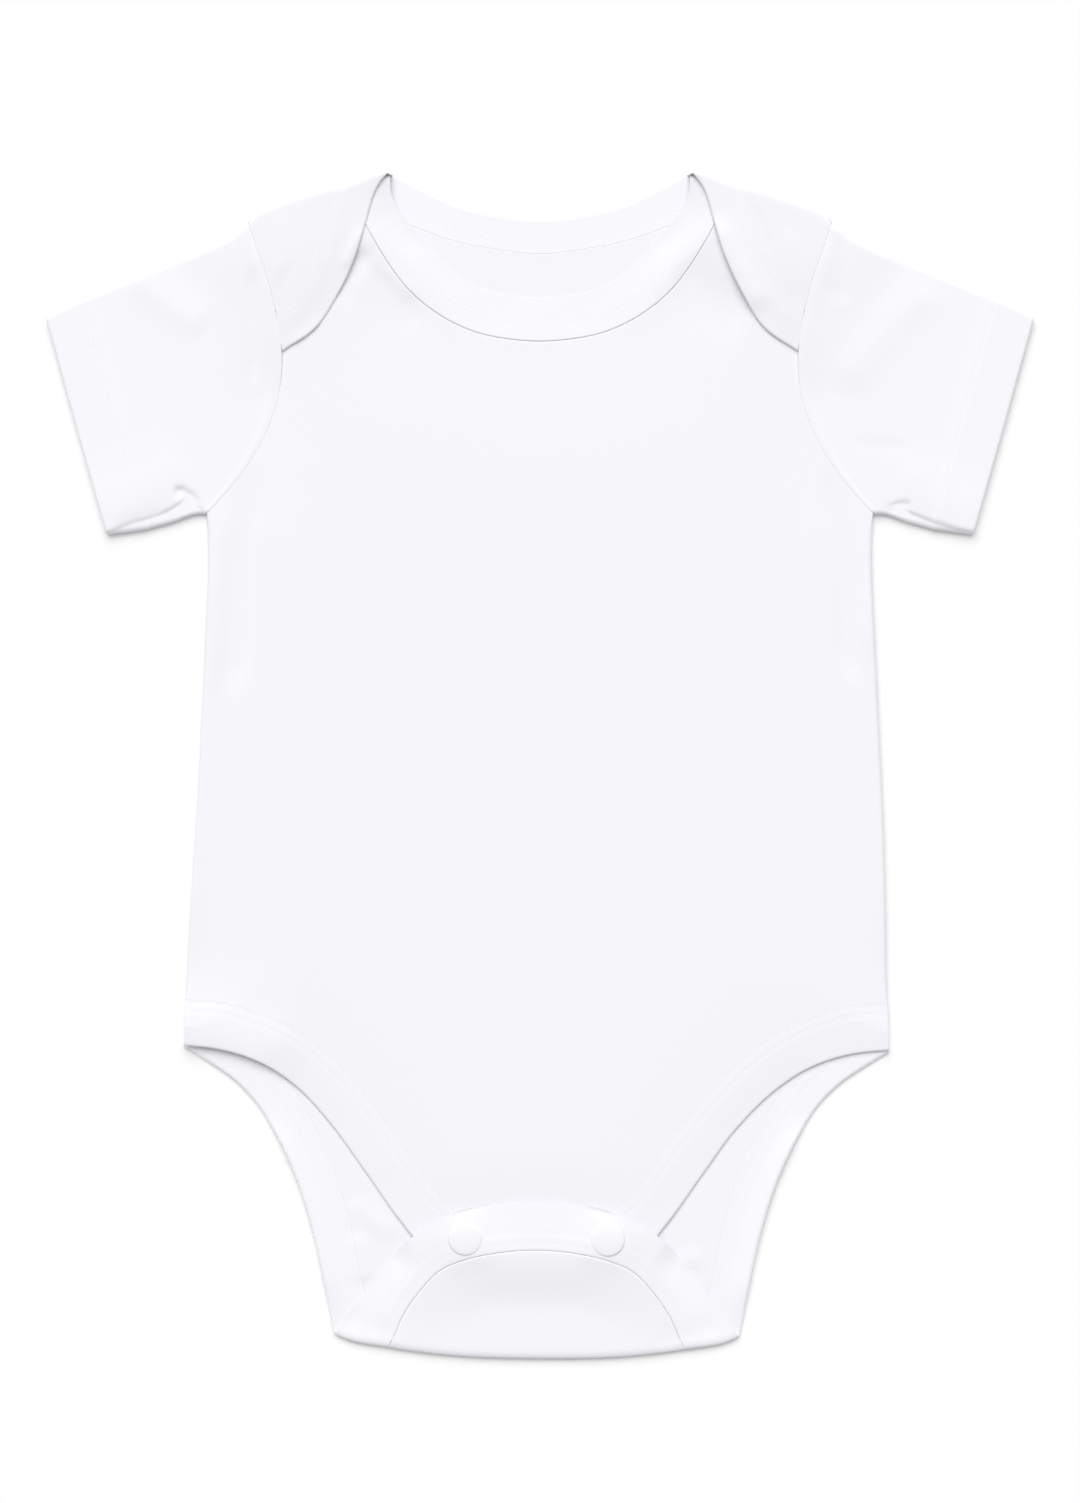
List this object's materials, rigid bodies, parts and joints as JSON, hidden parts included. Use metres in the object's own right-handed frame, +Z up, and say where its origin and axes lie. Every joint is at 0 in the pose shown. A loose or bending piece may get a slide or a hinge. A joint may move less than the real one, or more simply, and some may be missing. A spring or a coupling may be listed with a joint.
{
  "type": "baby bodysuit",
  "caption": "Short-sleeved baby bodysuit laid flat, with a lapped envelope neck, ribbed bindings and a snapped crotch flap.",
  "frame": {"origin": "on the surface that the garment lies on, below the middle of its outline", "axes": "+X across the garment towards the sleeve on the right when seen from above, +Y from the crotch to the neck, +Z up from the surface"},
  "size_m": [0.3158, 0.3792, 0.0074],
  "materials": {
    "jersey": "soft white cotton jersey",
    "rib": "white cotton binding, folded and twin-stitched",
    "snap": "white moulded plastic, soft gloss"
  },
  "bodies": {
    "root": {"back_panel": "jersey", "front_panel": "jersey", "sleeve_left": "jersey", "sleeve_right": "jersey", "sleeve_hem_left": "jersey", "sleeve_hem_right": "jersey", "neck_binding_back": "rib", "neck_binding_front": "rib", "leg_binding_back": "rib", "leg_binding_front": "rib", "snap_cap_left": "snap", "snap_cap_right": "snap", "snap_stud_left": "snap", "snap_stud_right": "snap"}
  },
  "joints": []
}
